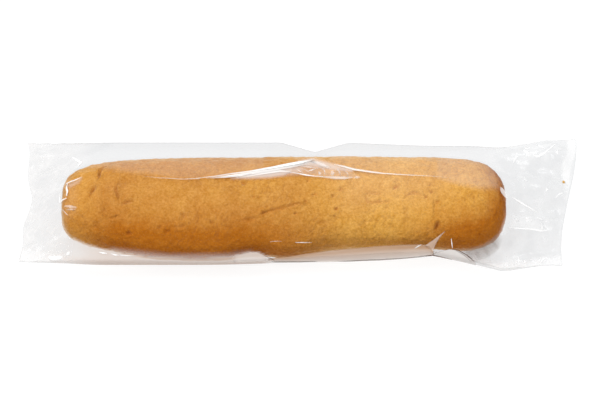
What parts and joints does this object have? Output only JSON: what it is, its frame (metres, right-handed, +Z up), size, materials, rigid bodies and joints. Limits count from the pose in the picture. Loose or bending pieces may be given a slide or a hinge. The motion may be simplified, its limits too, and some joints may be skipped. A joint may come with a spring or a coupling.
{
  "type": "bagged hoagie roll",
  "caption": "Long soft bread roll shut in a clear film bag, sealed flat at both ends and drawn tight over the roll.",
  "frame": {"origin": "middle of the bag's underside, at the height of the surface that it lies on", "axes": "+X runs along the roll, +Y towards its back and +Z up"},
  "size_m": [0.382, 0.1138, 0.0523],
  "materials": {
    "film": "thin clear film with soft creases, glossy",
    "crust": "soft golden-brown crust, finely mottled, matt"
  },
  "bodies": {
    "root": {"sealed_bag": "film"}
  },
  "joints": []
}
